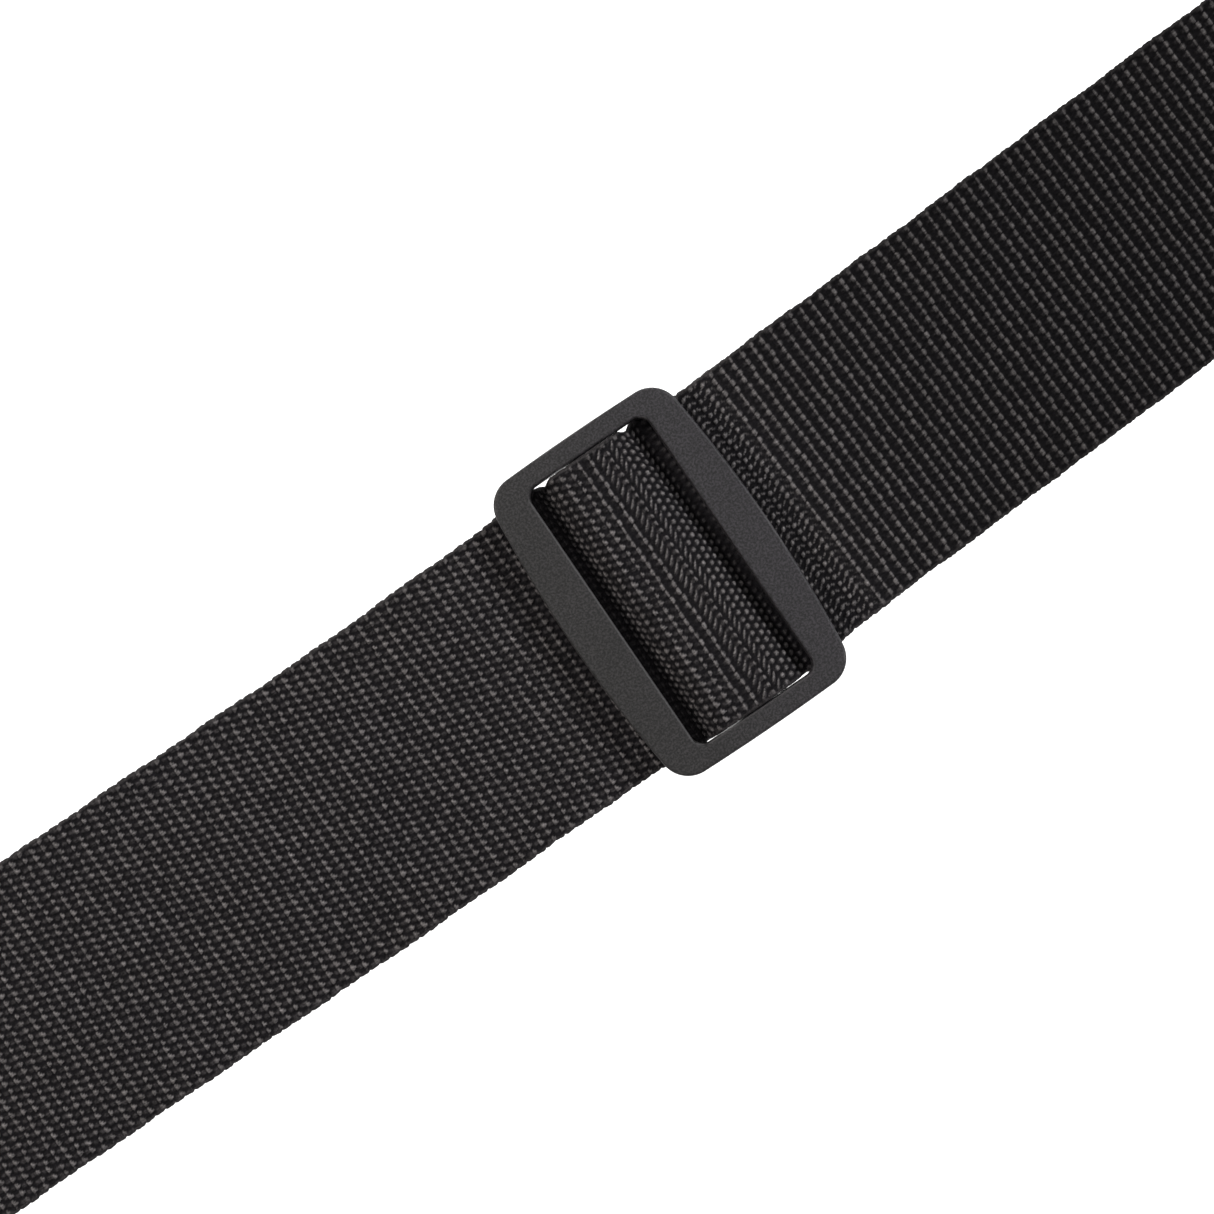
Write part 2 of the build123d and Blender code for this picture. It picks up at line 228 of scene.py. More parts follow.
# Sideways wander near the tri-glide: x from GLIDE_X, offset in y
WANDER = [
    (-400, 0.0), (-140, -0.35), (-92, -0.66), (-72, -0.78), (-58, -0.74), (-45, -0.46),
    (-32, -0.18), (-21, -0.04), (-12, 0.0), (0, 0.0), (12, 0.12), (21, 0.32),
    (30, 0.38), (45, 0.35), (60, 0.29), (80, 0.25), (140, 0.2), (320, 0.0)]
LEAN = 0.0445                         # sideways slope behind the tri-glide
LEAN_RUN = 25                         # length over which the lean sets in

wander_x = np.arange(-450.0, 451.0, 1.0)
wander_y = np.interp(wander_x, *zip(*WANDER))
wander_y = np.convolve(wander_y, np.hanning(25) / np.hanning(25).sum(), "same")
wander_slope = np.gradient(wander_y, wander_x)


def long_meander(x):
    """The slow part of the wander: a lean to the rear, one wave to the front."""
    behind = x - GLIDE_X
    part = np.clip(behind, 0, LEAN_RUN) / LEAN_RUN
    lean = LEAN * LEAN_RUN * np.where(behind < LEAN_RUN, part ** 3 - part ** 4 / 2,
                                      0.5 + (behind - LEAN_RUN) / LEAN_RUN)
    rear = lean * (1 - smooth01((behind - 125) / 250))
    wave = np.clip((x - TAB_END) / (GLIDE_X - 40 - TAB_END), 0, 1)
    front = 0.9 * np.sin(2 * np.pi * wave) * np.sin(np.pi * wave) ** 2
    return rear + front


def meander(x):
    """Sideways wander of the flexible webbing, and its slope, in the plan view."""
    delta = 0.05
    slope = (long_meander(x + delta) - long_meander(x - delta)) / (2 * delta)
    return (long_meander(x) + np.interp(x - GLIDE_X, wander_x, wander_y),
            slope + np.interp(x - GLIDE_X, wander_x, wander_slope))


# --- The weave: rows of yarn crowns in a brick layout, slanted in turn ---
REPEAT = 4.05                         # full repeat along the strap
REAR_REPEAT = 4.18                    # the same, behind the tri-glide
YARNS = 36
YARN_W = 2 * WEB_HALF_W / YARNS       # yarn pitch across the strap
RELIEF = 0.42                         # from a crown's top to the bottom of the weave


def hash01(i, j, k):
    v = np.sin(i * 127.1 + j * 311.7 + k * 74.7 + 13.3) * 43758.5453
    return v - np.floor(v)


# Each yarn float shows as a crown with a painted glint and a lower body behind it. One line per
# column:
# crown: centre, half length, slant, half width at the near and far end
# body:  centre, half length, slant, half width, height
# then how square the crown is across the strap, and how abruptly it starts (1 = evenly)
LOOKS = {
    "front": (((-0.16, 0.46, -0.52, 0.90, 0.16), (-0.92, 0.60, -0.10, 0.46, 0.56), 2.4, 0.50),
              ((-0.08, 0.42, -0.16, 0.88, 0.20), (-0.86, 0.62, -0.04, 0.46, 0.56), 2.4, 0.60)),
    "dash": (((0.00, 0.31, 0.08, 0.66, 0.66), (-0.30, 0.85, 0.0, 0.42, 0.50), 3.8, 1.0),
             ((0.00, 0.31, 0.12, 0.66, 0.66), (-0.30, 0.85, 0.0, 0.42, 0.50), 3.8, 1.0)),
    "slant": (((0.02, 0.92, 0.80, 0.20, 0.25), (-0.10, 1.05, 0.72, 0.42, 0.58), 2.2, 1.0),
              ((0.00, 0.34, -0.35, 0.42, 0.46), (-0.60, 0.75, 0.10, 0.48, 0.58), 2.2, 1.0)),
    "rear": (((0.00, 0.42, 0.40, 0.46, 0.42), (0.90, 0.40, -0.80, 0.24, 0.86), 2.2, 1.0),
             ((0.02, 0.40, 0.15, 0.48, 0.44), (1.02, 0.48, 0.80, 0.22, 0.86), 2.2, 1.0)),
    "dot": (((0.00, 0.56, 0.10, 0.50, 0.46), (0.0, 1.00, 0.0, 0.50, 0.55), 2.2, 1.0),
            ((0.00, 0.56, 0.10, 0.48, 0.44), (0.0, 1.00, 0.0, 0.50, 0.55), 2.2, 1.0)),
}
# Where each look holds: x from GLIDE_X, look. Neighbouring looks blend into each other.
LOOK_STATIONS = [
    (-2.6, "front"), (-2.1, "dash"), (1.1, "dash"), (1.6, "slant"), (5.3, "slant"),
    (5.9, "dot"), (11.5, "dot"), (19.0, "rear"), (24.6, "rear"), (26.6, "dash")]
station_dist = np.array([dist_out(GLIDE_X + x) for x, _ in LOOK_STATIONS])


def crowns(dist, across, look, flip, shift):
    """Crown height, tone of the yarn on top, and how much of the crown's painted glint shows."""
    best = np.zeros(np.broadcast(dist, across).shape)
    tone = np.zeros_like(best)
    glint = np.zeros_like(best)
    for column, (crown, body, squareness, lead) in enumerate(look):
        top_at, top_len, top_slant, near_w, far_w = crown
        low_at, low_len, low_slant, low_w, low_h = body
        start = column * REPEAT / 2 + shift
        i = np.round((dist - start + 0.35) / REPEAT)
        local = dist - start - i * REPEAT
        tail = top_slant * (top_at - 0.5 * top_len) if low_at < 0 else 0
        drifts = (top_slant * (local - top_at * 0.5), low_slant * (local - low_at) + tail)
        for is_body, drift in enumerate(drifts):
            row = across - column * YARN_W / 2 - flip * drift
            j = np.round(row / YARN_W)
            rand_row, rand_dist, rand_size, rand_top = (
                hash01(i * 2 + column, j, k) for k in range(4))
            aside = row - j * YARN_W + (rand_row - 0.5) * 0.11
            ahead = local + (rand_dist - 0.5) * 0.22
            if is_body:
                u = (ahead - low_at) / low_len
                inside = 1 - np.abs(u) ** 2.2 - np.abs(aside / low_w) ** 2.4
                height = np.sqrt(np.clip(inside, 0, None)) * low_h * (0.88 + 0.12 * rand_size)
                shine = (smooth01(1.35 * inside) * (0.40 + 0.35 * rand_top)
                         if low_h > 0.8 else 0 * inside)
            else:
                reach = top_len * (0.88 + 0.24 * rand_size)
                u = (ahead - top_at) / (reach * np.where(ahead < top_at, lead, 2 - lead))
                width = near_w + (far_w - near_w) * np.clip(0.5 + 0.55 * u, 0, 1)
                inside = 1 - np.abs(u) ** 2.4 - np.abs(aside / width) ** squareness
                height = np.sqrt(np.clip(inside, 0, None)) * (0.82 + 0.18 * rand_top)
                shine = smooth01(1.35 * inside) * (0.58 + 0.38 * rand_top)
            higher = height > best
            best = np.where(higher, height, best)
            tone = np.where(higher, hash01(i * 2 + column, j, 9), tone)
            glint = np.where(higher, shine, glint)
    return best, tone, glint


# Where each column of crowns sits in the window and just behind it (x from GLIDE_X): the
# strap is drawn tight over the centre bar, so the columns close up towards the rear bar.
WINDOW_COLUMNS = [-8.56, -7.86, -6.65, -5.10, -3.19, -1.50, 0.44,
                  2.30, 3.82, 4.97, 6.19, 7.46, 8.36, 9.37]
REAR_COLUMNS = [20.83, 22.79, 24.86, 26.87, 28.97]

column_dist = [dist_out(GLIDE_X - 17)]
column_weave = [column_dist[0]]
for places, parity in ((WINDOW_COLUMNS, 1), (REAR_COLUMNS, 0)):
    gap = dist_out(GLIDE_X + places[0])
    first = round((column_weave[-1] + gap - column_dist[-1]) / (REPEAT / 2))
    first += (first + parity) % 2     # the window starts on an odd column, the rear on an even
    for k, x in enumerate(places):
        column_dist.append(dist_out(GLIDE_X + x))
        column_weave.append((first + k) * (REPEAT / 2))
column_dist, column_weave = np.array(column_dist), np.array(column_weave)


def weave(dist):
    """Distance along the strap as the weave counts it: each column takes REPEAT / 2."""
    count = np.interp(dist, column_dist, column_weave)
    count = np.where(dist < column_dist[0], dist - column_dist[0] + column_weave[0], count)
    rear = (dist - column_dist[-1]) * (REPEAT / REAR_REPEAT) + column_weave[-1]
    return np.where(dist > column_dist[-1], rear, count)


def well(x):
    """How deep the strap lies beside a bar of the tri-glide, as a mask for the painted shade
    there: 0 in the open, 1 in the gap.
    """
    u = x - GLIDE_X - WINDOW_X
    return np.maximum(smooth01((-u - 9.3) / 0.9) * (u > -17), smooth01((u - 9.7) / 0.8) * (u < 17))


def look_weights(dist, look):
    """Share of each look along the strap; a given look takes it all."""
    if look:
        return {look: np.ones_like(dist)}
    return {key: np.interp(dist, station_dist, [float(at == key) for _, at in LOOK_STATIONS])
            for key in LOOKS}


def face(dist, across, outer, look):
    """One face: its height above the middle plane, crown height, yarn tone and glint."""
    height = np.zeros(np.broadcast(dist, across).shape)
    tone = np.zeros_like(height)
    glint = np.zeros_like(height)
    count = dist if look else weave(dist)
    flip, shift = (1, 0.0) if outer else (-1, REPEAT / 4)
    for key, share in look_weights(dist, look).items():
        rows = (share > 1e-3).any(axis=1)
        if not rows.any():
            continue
        parts = crowns(count[rows], across[rows], LOOKS[key], flip, shift)
        for total, part in zip((height, tone, glint), parts):
            total[rows] += share[rows] * part
    edge = smooth01((WEB_HALF_W - 0.35 - np.abs(across)) / 1.1)
    rib = 0.5 + 0.5 * np.cos(4 * np.pi * count / REPEAT)       # picks show as faint ribs
    top = HALF_T - 0.02 - RELIEF * (1 - height) * (0.35 + 0.65 * edge) - 0.03 * (1 - rib)
    top = top - 0.14 * (1 - edge)
    return top, height, tone, glint * (0.5 + 0.5 * edge)


# Extra half width: x from GLIDE_X, on the +Y side, on the -Y side
EXTRA_WIDTH = np.array([
    (-540, 0.15, 0.15), (-420, 0.45, 0.45), (-100, 0.50, 0.50), (-75, 0.50, 0.50),
    (-55, 0.32, 0.32), (-32, 0.34, 0.34), (-20, 0.48, 0.48), (-13, 1.2, 1.2),
    (-10.8, 1.4, 1.4), (-9.9, 1.0, 1.0), (-9.3, 0.95, 1.0), (-8.3, 0.30, 1.0),
    (-7.2, 0.95, 1.0), (-6.6, 0.95, 0.95), (0, 0.95, 0.95), (6.3, 0.95, 0.95),
    (7.4, 0.95, 1.0), (8.7, 0.05, 1.0), (9.9, 0.95, 1.0), (10.8, 1.4, 1.4),
    (12.5, 1.2, 1.2), (20, 0.0, 0.0), (40, -0.03, -0.03), (80, 0.05, 0.05), (200, 0.05, 0.05)])
SELVEDGE = 0.60                       # width of the rounded edge
EDGE_STEPS = 5                        # points round each edge
UPPER_PLY_Z = 3.6                     # above this the strap is its upper ply
# Painted light falloff, darkening behind the tri-glide: x from GLIDE_X, brightness
LIGHT_FALLOFF = [(26, 1.0), (34, 0.79), (48, 0.65), (68, 0.575), (95, 0.53)]


def spread(x, dist, side):
    """Extra half width on one side, and how freely the selvedge ripples there."""
    away = x - GLIDE_X
    back = dist > dist_back(GLIDE_X + 31)
    extra = np.interp(away, EXTRA_WIDTH[:, 0], EXTRA_WIDTH[:, 1 if side > 0 else 2])
    free = smooth01((np.abs(away) - 13) / 6)               # pressed flat in the window
    return np.where(back, 0.45 * (1 - free), extra), free


def bead(dist, side):
    """Selvedge loops: the weft turning round the last yarn."""
    pitch = REPEAT / 4
    place = (dist + side * pitch / 2) / pitch
    k = np.round(place)
    size = 0.07 + 0.15 * hash01(k, side, 21)
    ripple = 0.05 * np.cos(2 * np.pi * (dist + side) / (REPEAT / 2))
    return size * np.clip(1 - (2 * (place - k)) ** 2, 0, 1) ** 0.7 + ripple


def edge_wander(dist, side):
    return 0.09 * np.sin(dist * 0.31 + side) + 0.04 * np.sin(dist * 0.83 + 2 * side)


def selvedge(dist, side, free, up, down):
    """Distance across and height of the points round one edge."""
    angle = np.linspace(np.pi / 2, -np.pi / 2, EDGE_STEPS + 2)[1:-1][None, ::side]
    ripple = (0.25 + 0.75 * free) * (bead(dist, side) + edge_wander(dist, side))
    out = SELVEDGE + ripple[:, None]
    across = side * (WEB_HALF_W - SELVEDGE + out * np.cos(angle))
    height = np.where(np.sin(angle) >= 0, up[:, None], down[:, None]) * np.sin(angle)
    return across, height


def mesh_object(name, verts, quads, caps, mat, attrs):
    """An object of smooth quads and flat caps, with vector attributes on its points."""
    mesh = bpy.data.meshes.new(name)
    mesh.vertices.add(len(verts))
    mesh.vertices.foreach_set("co", (np.asarray(verts, np.float32) * MM).ravel())
    corners = np.concatenate([quads.ravel()] + [np.array(cap) for cap in caps]).astype(np.int32)
    counts = np.array([4] * len(quads) + [len(cap) for cap in caps], np.int32)
    starts = np.concatenate([[0], np.cumsum(counts)[:-1]]).astype(np.int32)
    mesh.loops.add(len(corners))
    mesh.loops.foreach_set("vertex_index", corners)
    mesh.polygons.add(len(counts))
    mesh.polygons.foreach_set("loop_start", starts)
    smooth = np.zeros(len(counts), bool)
    smooth[:len(quads)] = True
    mesh.polygons.foreach_set("use_smooth", smooth)
    mesh.update(calc_edges=True)
    mesh.validate()
    for key, values in attrs.items():
        attribute = mesh.attributes.new(key, "FLOAT_VECTOR", "POINT")
        attribute.data.foreach_set("vector", np.asarray(values, np.float32).ravel())
    ob = bpy.data.objects.new(name, mesh)
    scene.collection.objects.link(ob)
    mesh.materials.append(mat)
    return ob


def ring_places(dist0, dist1, spacing, look):
    """Arc lengths of a piece's rings; every column of crowns falls on one."""
    step = REPEAT / 2 / max(2, round(REPEAT / 2 / spacing))
    columns = [] if look else [q for q in column_dist if dist0 < q < dist1]
    knots = np.array([dist0] + columns + [dist1])
    marks = knots if look else weave(knots)
    first, last = np.ceil(marks[0] / step + 0.4), np.floor(marks[-1] / step - 0.4)
    inner = np.arange(first, last + 1) * step
    return np.concatenate([[dist0], np.interp(inner, marks, knots), [dist1]])


def webbing(name, path, dist0, dist1, spacing, top, low, look=None):
    """A closed length of webbing. top and low are samples per yarn on the two faces."""
    dist = ring_places(dist0, dist1, spacing, look)
    x, z, dir_x, dir_z = path.at(dist)
    flank = WEB_HALF_W - SELVEDGE
    across_top = np.linspace(-flank, flank, int(YARNS * top) + 1)
    across_low = np.linspace(flank, -flank, int(YARNS * low) + 1)
    grid, across_top = np.meshgrid(dist, across_top, indexing="ij")
    top_z, top_crown, top_tone, top_glint = face(grid, across_top, True, look)
    grid, across_low = np.meshgrid(dist, across_low, indexing="ij")
    low_z, low_crown, low_tone, low_glint = face(grid, across_low, False, look)

    on_strap = path is strap
    if on_strap:
        (extra_pos, free_pos), (extra_neg, free_neg) = (spread(x, dist, q) for q in (1, -1))
        sideways, slope = meander(x)
    else:
        extra_pos = extra_neg = sideways = slope = 0 * x
        free_pos = free_neg = 1 + 0 * x
    pos_across, pos_z = selvedge(dist, 1, free_pos, top_z[:, -1], low_z[:, 0])
    neg_across, neg_z = selvedge(dist, -1, free_neg, top_z[:, 0], low_z[:, -1])

    def around(upper, lower, at_edge):
        edge = np.full((len(dist), EDGE_STEPS), at_edge)
        return np.concatenate([upper, edge, lower, edge], 1)

    across = np.concatenate([across_top, pos_across, across_low, neg_across], 1)
    height = np.concatenate([top_z, pos_z, -low_z, neg_z], 1)
    ring = across.shape[1]
    # Painted shade in the gaps beside the bars: there the crowns are lowered and the glints taken
    # out, while shade lifts the base a little as painted fill light.
    deep = (well(x) * (z > UPPER_PLY_Z) * on_strap)[:, None]
    crown = around(top_crown, low_crown, 0.35) * (1 - 0.55 * deep)
    tone = around(top_tone, low_tone, 0.4)
    glint = around(top_glint, low_glint, 0.12) * (1 - 0.93 * deep)
    # painted light falloff behind the tri-glide, carried in shade
    light_falloff = np.interp(x - GLIDE_X, *zip(*LIGHT_FALLOFF))[:, None]
    shade = np.repeat((1 + 0.45 * deep) * light_falloff, ring, 1)

    wide = np.where(across > 0, extra_pos[:, None], extra_neg[:, None]) / WEB_HALF_W
    verts = np.stack([x[:, None] - dir_z[:, None] * height - across * slope[:, None],
                      across * (1 + wide) + sideways[:, None],
                      z[:, None] + dir_x[:, None] * height], -1).reshape(-1, 3)
    i = np.arange(len(dist) - 1)[:, None] * ring
    j = np.arange(ring)[None, :]
    j_next = (j + 1) % ring
    quads = np.stack([i + j, i + ring + j, i + ring + j_next, i + j_next], -1).reshape(-1, 4)
    caps = [list(range(ring)), list(range(len(verts) - 1, len(verts) - ring - 1, -1))]
    attrs = {"wv": np.stack([np.repeat(dist[:, None], ring, 1), across, crown], -1),
             "tv": np.stack([tone, shade, glint], -1)}
    return mesh_object(name, verts, quads, caps, WEB, attrs)


# --- Materials ---
class Shader:
    """A material with a principled surface, and short calls for its nodes."""

    def __init__(self, name):
        self.mat = bpy.data.materials.new(name)
        self.mat.use_nodes = True
        self.tree = self.mat.node_tree
        self.tree.nodes.clear()
        output = self.node("ShaderNodeOutputMaterial")
        self.bsdf = self.node("ShaderNodeBsdfPrincipled")
        self.feed(output.inputs[0], self.bsdf.outputs[0])

    def feed(self, socket, value):
        """Link a socket, or set a number or an RGB colour."""
        if isinstance(value, bpy.types.NodeSocket):
            self.tree.links.new(value, socket)
        else:
            socket.default_value = (*value, 1) if isinstance(value, tuple) else value

    def node(self, kind, **props):
        node = self.tree.nodes.new(kind)
        for key, value in props.items():
            setattr(node, key, value)
        return node

    def surface(self, inputs):
        for key, value in inputs.items():
            self.feed(self.bsdf.inputs[key], value)

    def coords(self):
        return self.node("ShaderNodeTexCoord").outputs["Object"]

    def attribute(self, name):
        """The three parts of a vector attribute."""
        return self.split(self.node("ShaderNodeAttribute", attribute_name=name).outputs["Vector"])

    def split(self, vector):
        node = self.node("ShaderNodeSeparateXYZ")
        self.feed(node.inputs[0], vector)
        return tuple(node.outputs)

    def join(self, x, y):
        node = self.node("ShaderNodeCombineXYZ")
        self.feed(node.inputs[0], x)
        self.feed(node.inputs[1], y)
        return node.outputs[0]

    def math(self, operation, a, b, clamp=False):
        node = self.node("ShaderNodeMath", operation=operation, use_clamp=clamp)
        self.feed(node.inputs[0], a)
        self.feed(node.inputs[1], b)
        return node.outputs[0]

    def plus(self, a, b, clamp=False):
        return self.math("ADD", a, b, clamp)

    def minus(self, a, b, clamp=False):
        return self.math("SUBTRACT", a, b, clamp)

    def times(self, a, b):
        return self.math("MULTIPLY", a, b)

    def weighted(self, *terms):
        """Sum of (value, weight) terms."""
        total = self.times(*terms[0])
        for term in terms[1:]:
            total = self.plus(total, self.times(*term))
        return total

    def falloff(self, distance, reach):
        """1 at no distance, down to 0 at reach."""
        return self.minus(1.0, self.math("DIVIDE", distance, reach), clamp=True)

    def ramp(self, value, stops):
        """Stops of (position, RGB colour or grey)."""
        node = self.node("ShaderNodeValToRGB")
        elements = node.color_ramp.elements
        while len(elements) < len(stops):
            elements.new(0.5)
        for k, (position, color) in enumerate(stops):
            elements[k].position = position
            elements[k].color = (*color, 1) if isinstance(color, tuple) else (*[color] * 3, 1)
        self.feed(node.inputs[0], value)
        return node.outputs[0]

    def mix(self, share, a, b, kind="MIX"):
        node = self.node("ShaderNodeMix", data_type="RGBA", blend_type=kind)
        for k, value in ((0, share), (6, a), (7, b)):
            self.feed(node.inputs[k], value)
        return node.outputs[2]

    def tint(self, color, by):
        return self.mix(1.0, color, by, "MULTIPLY")

    def noise(self, vector, scale, detail=2.0, rough=0.5):
        node = self.node("ShaderNodeTexNoise")
        settings = {"Scale": scale, "Detail": detail, "Roughness": rough, "Vector": vector}
        for key, value in settings.items():
            self.feed(node.inputs[key], value)
        return node.outputs["Fac"]

    def bump(self, height, dist, strength, normal=None):
        node = self.node("ShaderNodeBump")
        settings = {"Distance": dist, "Strength": strength, "Height": height}
        if normal is not None:
            settings["Normal"] = normal
        for key, value in settings.items():
            self.feed(node.inputs[key], value)
        return node.outputs[0]


def webbing_material():
    sh = Shader("webbing_black_polypropylene")
    dist, across, crown = sh.attribute("wv")
    tone, shade, glint = sh.attribute("tv")
    # filament streaks run along the yarn, so they are long in dist and fine across
    streak = sh.noise(sh.join(sh.times(dist, 0.95), sh.times(across, 3.4)),
                      scale=1.0, detail=3.0, rough=0.6)
    flat_map = sh.join(dist, across)
    fine = sh.noise(flat_map, scale=2.7, rough=0.75)
    mottle = sh.noise(flat_map, scale=1.6, rough=0.55)
    patch = sh.noise(flat_map, scale=0.06)
    # painted shade and highlight: dark between the yarns, brightest on the crowns
    body = sh.ramp(crown, [(0.0, (0.0086, 0.0078, 0.0092)), (0.28, (0.0160, 0.0147, 0.0158)),
                           (0.60, (0.0490, 0.0453, 0.0466)), (1.0, (0.0650, 0.0601, 0.0607))])
    # painted highlight: the glint mixes a light colour into the base colour on the crowns
    color = sh.mix(glint, body, (0.1560, 0.1450, 0.1430))
    warmth = sh.mix(sh.times(patch, 0.9), (1.035, 1.0, 0.975), (0.99, 0.985, 1.03))
    color = sh.tint(color, warmth)
    # brightness: yarn by yarn, then each noise about its middle value, never below 0.22
    vary = sh.weighted((tone, 0.24), (sh.minus(streak, 0.5), 2.4),
                       (sh.minus(fine, 0.5), 3.0), (sh.minus(mottle, 0.5), 0.6))
    # the gain carries shade: the painted shade, fill light and light falloff set in webbing()
    gain = sh.node("ShaderNodeCombineColor")
    for channel in gain.inputs[:3]:
        bright = sh.math("MAXIMUM", sh.plus(vary, 0.88), 0.22)
        sh.feed(channel, sh.times(bright, shade))
    # crowns are smoother and shinier than the yarn between them
    rough = sh.weighted((fine, 0.22), (sh.minus(1.0, glint), 0.25))
    relief = sh.weighted((streak, 0.6), (fine, 0.5))
    sh.surface({
        "Base Color": sh.tint(color, gain.outputs[0]),
        "Roughness": sh.plus(rough, 0.34),
        "Specular IOR Level": sh.times(sh.plus(sh.times(glint, 0.45), 0.08), shade),
        "Sheen Weight": 0.04,
        "Sheen Roughness": 0.5,
        "Normal": sh.bump(relief, dist=0.00010, strength=0.7)})
    return sh.mat


def plastic_material():
    sh = Shader("charcoal_moulded_plastic")
    coords = sh.coords()
    grain = sh.noise(coords, scale=2600.0, detail=3.0, rough=0.65)
    speck = sh.noise(coords, scale=5200.0, detail=1.0)
    cloud = sh.noise(coords, scale=90.0, detail=3.0, rough=0.6)
    # painted light: cooler and lighter towards the strap's rear end, warmer and darker towards the
    # front, as if lit from the rear
    from_middle = sh.minus(sh.split(coords)[0], GLIDE_X * MM)
    side = sh.plus(sh.times(from_middle, 22.0), 0.5, clamp=True)
    color = sh.mix(side, (0.0200, 0.0187, 0.0180), (0.0240, 0.0216, 0.0250))
    color = sh.tint(color, sh.ramp(grain, [(0.38, 0.40), (0.50, 1.0), (0.60, (1.95, 1.92, 1.98))]))
    color = sh.tint(color, sh.ramp(cloud, [(0.3, 0.92), (0.7, 1.08)]))
    # painted highlight: a touch lighter where the surface turns sharply, as light catches the
    # rounded edges
    pointiness = sh.node("ShaderNodeNewGeometry").outputs["Pointiness"]
    edge = sh.ramp(pointiness, [(0.505, 0), (0.57, 1)])
    relief = sh.weighted((grain, 0.7), (speck, 0.3))
    sh.surface({
        "Base Color": sh.mix(sh.times(edge, 0.55), color, (0.110, 0.104, 0.106)),
        "Roughness": sh.plus(sh.times(speck, 0.22), 0.46),
        "Specular IOR Level": 0.45,
        "Normal": sh.bump(relief, dist=0.00009, strength=0.55)})
    return sh.mat


def leather_material():
    sh = Shader("black_pebble_leather")
    coords = sh.coords()
    # pebbles: cells with wavering borders
    cells = sh.node("ShaderNodeTexVoronoi", feature="DISTANCE_TO_EDGE")
    cells.inputs["Scale"].default_value = 900.0
    warp = sh.node("ShaderNodeVectorMath", operation="SCALE")
    sh.feed(warp.inputs[0], sh.noise(coords, scale=350.0, detail=3.0, rough=0.6))
    warp.inputs["Scale"].default_value = 0.0012
    warped = sh.node("ShaderNodeVectorMath", operation="ADD")
    sh.feed(warped.inputs[0], coords)
    sh.feed(warped.inputs[1], warp.outputs[0])
    sh.feed(cells.inputs["Vector"], warped.outputs[0])
    pebble = sh.ramp(cells.outputs["Distance"], [(0.0, 0), (0.12, 0.7), (0.35, 1)])
    fine = sh.noise(coords, scale=4200.0, detail=3.0, rough=0.7)
    cloud = sh.noise(coords, scale=60.0, detail=4.0, rough=0.6)
    color = sh.mix(pebble, (0.0080, 0.0070, 0.0066), (0.0230, 0.0205, 0.0190))
    color = sh.tint(color, sh.ramp(cloud, [(0.25, 0.75), (0.75, (1.3, 1.27, 1.22))]))
    # worn brown round the hole, dark at the cut rim and in the seam's groove
    inside, from_hole, groove = sh.attribute("tab")
    rim = sh.falloff(inside, reach=1.1)
    patches = sh.noise(coords, scale=700.0, detail=3.0, rough=0.6)
    worn = sh.times(sh.falloff(from_hole, reach=3.0), patches)
    for mark, share, shade in ((worn, 0.55, (0.060, 0.048, 0.040)),
                               (rim, 0.75, (0.0060, 0.0052, 0.0050)),
                               (groove, 0.45, (0.0055, 0.0050, 0.0050))):
        color = sh.mix(sh.times(mark, share), color, shade)
    dull = sh.minus(0.52, sh.times(pebble, 0.12))
    dull = sh.minus(dull, sh.times(rim, 0.14))
    pebbled = sh.bump(pebble, dist=0.00018, strength=0.6)
    sh.surface({
        "Base Color": color,
        "Roughness": sh.plus(sh.times(fine, 0.2), dull),
        "Normal": sh.bump(fine, dist=0.00005, strength=0.4, normal=pebbled)})
    return sh.mat


def thread_material():
    sh = Shader("bonded_thread")
    coords = sh.coords()
    wave = sh.node("ShaderNodeTexWave", wave_type="BANDS", bands_direction="DIAGONAL")
    for key, value in {"Scale": 420.0, "Distortion": 1.5, "Vector": coords}.items():
        sh.feed(wave.inputs[key], value)
    strand = wave.outputs["Fac"]
    fine = sh.noise(coords, scale=5200.0, rough=0.6)
    sh.surface({
        "Base Color": sh.ramp(strand, [(0.2, (0.010, 0.0095, 0.0095)),
                                       (0.8, (0.040, 0.038, 0.037))]),
        "Roughness": sh.plus(sh.times(fine, 0.25), 0.35),
        "Normal": sh.bump(strand, dist=0.00008, strength=0.8)})
    return sh.mat


WEB = webbing_material()
PLASTIC = plastic_material()
LEATHER = leather_material()
THREAD = thread_material()


# --- Webbing pieces ---
def attach(ob, node, hold):
    """hold is the body to ride. Two bodies and the x where each takes over are not used: such a
    piece only has its transform baked.
    """
    if isinstance(hold, str):
        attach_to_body(ob, hold)
    else:
        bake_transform(ob)
    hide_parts(node)


def strap_piece(name, dist0, dist1, detail, node, hold):
    attach(webbing(name, strap, dist0, dist1, **detail), node, hold)


def strap_run(node, cuts, details, dist_at, hold):
    """A run made in numbered pieces, cut at the given x."""
    for k, detail in enumerate(details):
        strap_piece(f"{node}_{k + 1}", dist_at(cuts[k]), dist_at(cuts[k + 1]), detail, node, hold)


FINE = dict(spacing=0.30, top=8, low=3)
MEDIUM = dict(spacing=0.50, top=4, low=4)
PLAIN = dict(spacing=0.50, top=4, low=1.5)
ARCH = dict(spacing=0.28, top=8, low=2)
TURN = dict(spacing=0.30, top=4, low=2)
FOLD = dict(spacing=0.30, top=4, low=1.5)

TAB_X = end_hi[0]                     # where the webbing leaves the front tab
ARCH_X0 = GLIDE_X - 30.0
ARCH_X1 = GLIDE_X + 36.0
TURN_X = BAR_1_X - TURN_REACH
FRONT_HOLD = ("front", "slider", TAB_X, ARCH_X0)
ARCH_HOLD = ("slider", "glide", ARCH_X0, GLIDE_X - 20)
FOLD_HOLD = ("slider", "glide", ARCH_X1, GLIDE_X + 20)
REAR_HOLD = ("slider", "turn", ARCH_X1, TURN_X)

